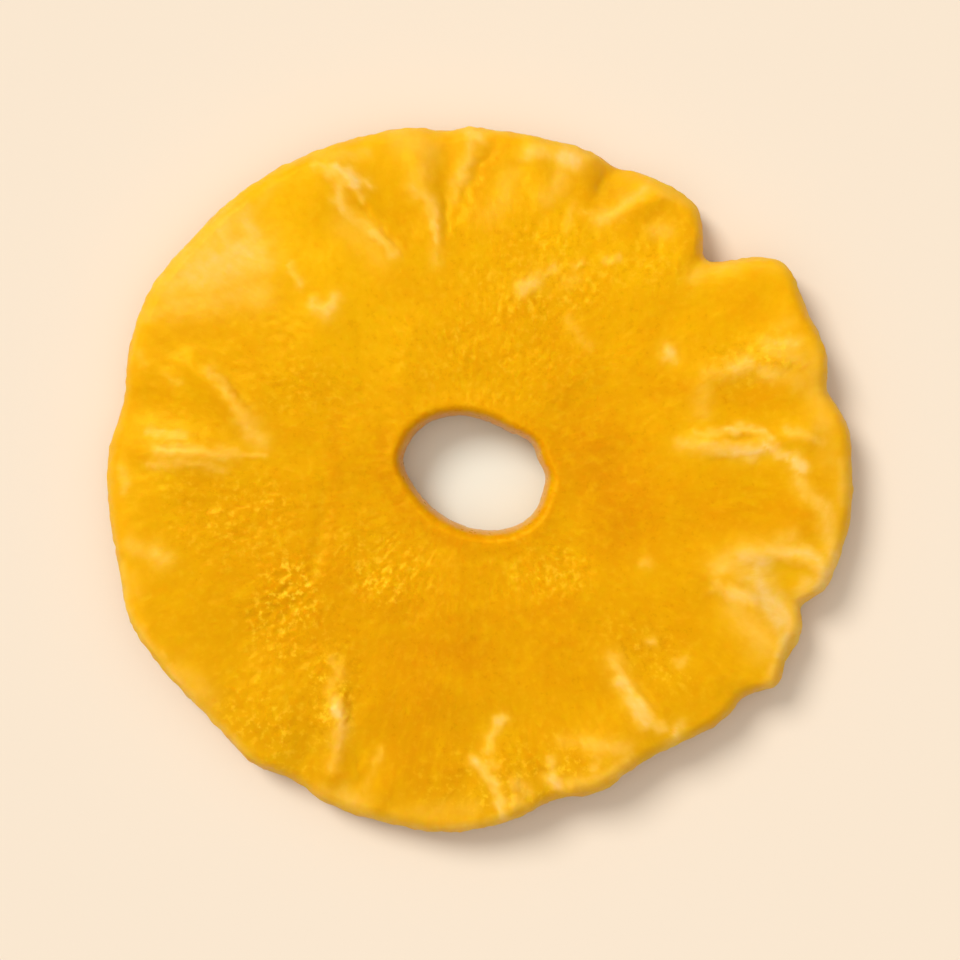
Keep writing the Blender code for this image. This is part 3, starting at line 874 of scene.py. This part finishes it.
def flesh_material():
    """Sugared pineapple: clear amber flesh, pale opaque fibres, a sticky, finely wrinkled skin, and painted
    shade, light and glints.
    """
    n = Nodes("pineapple_flesh")
    where = n.add("ShaderNodeTexCoord").outputs["Object"]
    flat = n.add("ShaderNodeVectorMath", {0: where, 1: (1.0, 1.0, 0.0)}, operation="MULTIPLY").outputs[0]
    radius = n.add("ShaderNodeVectorMath", {0: flat}, operation="LENGTH").outputs["Value"]
    heading = n.add("ShaderNodeVectorMath", {0: flat}, operation="NORMALIZE").outputs[0]
    scaled = {0: heading, "Scale": GRAIN_RADIUS * MM}
    rim_way = n.add("ShaderNodeVectorMath", scaled, operation="SCALE").outputs[0]
    drawn = n.add("ShaderNodeCombineXYZ", {2: n.math("MULTIPLY", radius, GRAIN_STRETCH)}).outputs[0]
    grain = n.add("ShaderNodeVectorMath", {0: rim_way, 1: drawn}, operation="ADD").outputs[0]

    pale, deep_and_shade, light = n.mark("pale"), n.mark("deep_and_shade"), n.mark("light")
    thin, lively, tone = n.mark("thin"), n.mark("lively"), n.mark("tone")
    mottle = n.noise(where, MOTTLE_SCALE, 3.0)
    outer = n.range(radius, DRAWN_FROM * MM, (DRAWN_FROM + DRAWN_OVER) * MM, 0.0, 1.0)
    fibre = n.blend(outer, n.noise(where, FIBRE_SCALE, 4.0), n.noise(grain, GRAIN_SCALE, 4.0))
    speck = n.noise(where, SPECK_SCALE, 3.0)

    colour = n.mix(n.range(mottle, *MOTTLE_RANGE, 0.0, MOTTLE_SHARE), AMBER, AMBER_LIGHT)
    # Lighter flesh, and painted light on slopes in shade.
    colour = n.mix(light, colour, AMBER_BRIGHT)
    # Darker clear flesh, and painted shade in creases, valleys and folds.
    colour = n.mix(deep_and_shade, colour, AMBER_DEEP_AND_SHADE)
    colour = n.mix(n.math("MULTIPLY", tone, SHADE_SHARE), colour, AMBER_SHADE)
    colour = n.mix(n.range(fibre, *GRAIN_RANGE, 0.0, GRAIN_SHARE), colour, GRAIN_LIGHT)
    dark_speck = n.range(speck, *SPECK_RANGE, 0.0, SPECK_SHARE)
    here = n.range(lively, *SPECK_LIVELY_RANGE, SPECK_CALM, SPECK_LIVELY)
    colour = n.mix(n.math("MULTIPLY", dark_speck, here), colour, GRAIN_DEEP)
    # Painted glints: bright specks laid into the colour, most on lively flesh.
    painted_glint = n.range(speck, *PAINTED_GLINT_RANGE, 0.0, 1.0)
    here = n.range(lively, *PAINTED_GLINT_LIVELY_RANGE, PAINTED_GLINT_CALM, PAINTED_GLINT_LIVELY)
    colour = n.mix(n.math("MULTIPLY", painted_glint, here), colour, PAINTED_GLINT_COLOUR)
    # Painted glow of light through the thin rim.
    colour = n.mix(n.math("MULTIPLY", thin, RIM_GLOW_SHARE), colour, RIM_PAINTED_GLOW)
    broken = n.math("MULTIPLY", pale, n.range(fibre, *BROKEN_RANGE, BROKEN_LEAST, BROKEN_MOST))
    colour = n.mix(n.range(broken, 0.0, OPAQUE_AT, 0.0, 1.0), colour, MARK_AMBER)
    colour = n.mix(n.math("POWER", broken, 2.0), colour, FIBRE_PALE)
    n.feed(n.surface.inputs["Base Color"], colour)

    rough = n.range(speck, *ROUGH_RANGE, ROUGH_LEAST, ROUGH_MOST)
    rough = n.math("ADD", rough, n.math("MULTIPLY", pale, DULLER_MARKS))
    rough = n.math("ADD", rough, n.math("MULTIPLY", thin, DULLER_RIM))
    rough = n.math("SUBTRACT", rough, n.math("MULTIPLY", lively, GLOSSIER))
    n.feed(n.surface.inputs["Roughness"], rough)
    n.feed(n.surface.inputs["Specular Tint"], GLOSS_TINT)
    n.feed(n.surface.inputs["Specular IOR Level"], GLOSS_LEVEL)
    n.feed(n.surface.inputs["IOR"], FLESH_IOR)
    n.feed(n.surface.inputs["Subsurface Weight"], 1.0)
    n.feed(n.surface.inputs["Subsurface Radius"], LIGHT_SPREAD)
    n.feed(n.surface.inputs["Subsurface Scale"], LIGHT_REACH)

    fibres, specks = n.math("MULTIPLY", fibre, FINE_FIBRE), n.math("MULTIPLY", speck, 1.0 - FINE_FIBRE)
    here = n.range(lively, 0.0, 1.0, FINE_CALM, FINE_LIVELY)
    height = n.math("MULTIPLY", n.math("ADD", fibres, specks), here)
    bump = n.add("ShaderNodeBump", {"Strength": FINE_STRENGTH, "Distance": FINE_DEPTH, "Height": height})
    n.feed(n.surface.inputs["Normal"], bump.outputs["Normal"])
    return n.material


def floor_object():
    """A plain cream floor, painted a little cooler under the hole to offset the warm light thrown there."""
    half = FLOOR_HALF
    corners = [(-half, -half, 0), (half, -half, 0), (half, half, 0), (-half, half, 0)]
    mesh = bpy.data.meshes.new("floor")
    mesh.from_pydata(corners, [], [(0, 1, 2, 3)])
    floor = bpy.data.objects.new("floor", mesh)
    bpy.context.scene.collection.objects.link(floor)
    n = Nodes("floor_paper")
    where = n.add("ShaderNodeTexCoord").outputs["Object"]
    away = n.add("ShaderNodeVectorMath", {0: where}, operation="LENGTH").outputs["Value"]
    painted_cool_under_hole = n.range(away, HOLE_FLOOR_TO, FLOOR_FROM, 1.0, 0.0)
    n.feed(n.surface.inputs["Base Color"], n.mix(painted_cool_under_hole, FLOOR_COLOUR, HOLE_FLOOR_PAINTED_COOL))
    grain = n.noise(where, PAPER_SCALE, 2.0, 0.5)
    n.feed(n.surface.inputs["Roughness"], n.range(grain, *PAPER_RANGE, PAPER_LEAST, PAPER_MOST))
    n.feed(n.surface.inputs["Specular IOR Level"], 0.0)
    mesh.materials.append(n.material)
    return floor


def light_scene():
    """Soft light from all round, and a broad key from the upper left that throws a soft shadow."""
    world = bpy.data.worlds.new("studio")
    bpy.context.scene.world = world
    world.use_nodes = True
    tree = world.node_tree
    sky = tree.nodes["Background"]
    sky.inputs["Color"].default_value = (1.0, 1.0, 1.0, 1.0)
    way = tree.nodes.new("ShaderNodeTexCoord")
    split = tree.nodes.new("ShaderNodeSeparateXYZ")
    bow = tree.nodes.new("ShaderNodeMath")
    bow.operation = "POWER"
    bow.use_clamp = True
    bow.inputs[1].default_value = SKY_BOW
    spread = tree.nodes.new("ShaderNodeMapRange")
    spread.inputs["To Min"].default_value = SKY_LOW
    spread.inputs["To Max"].default_value = SKY_HIGH
    tree.links.new(way.outputs["Generated"], split.inputs[0])
    tree.links.new(split.outputs["Z"], bow.inputs[0])
    tree.links.new(bow.outputs[0], spread.inputs["Value"])
    tree.links.new(spread.outputs["Result"], sky.inputs["Strength"])
    key = bpy.data.lights.new("key", "SUN")
    key.energy = KEY_STRENGTH
    key.angle = math.radians(KEY_ANGLE)
    lamp = bpy.data.objects.new("key", key)
    lamp.rotation_euler = Vector(KEY_WAY).to_track_quat("Z", "Y").to_euler()
    bpy.context.scene.collection.objects.link(lamp)


def look_from_above():
    """A long lens straight above the slice, with +Y up in the picture."""
    camera = bpy.data.cameras.new("camera")
    camera.lens = CAMERA_LENS
    camera.sensor_width = CAMERA_SENSOR
    camera.clip_start = CAMERA_NEAREST
    view = bpy.data.objects.new("camera", camera)
    view.location = (0.0, 0.0, CAMERA_HEIGHT)
    bpy.context.scene.collection.objects.link(view)
    bpy.context.scene.camera = view


ring = ring_object()
ring.data.materials.append(flesh_material())
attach(ring, "root")
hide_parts("pineapple_ring")
floor_object()
light_scene()
look_from_above()
bpy.context.scene.view_settings.view_transform = "Standard"
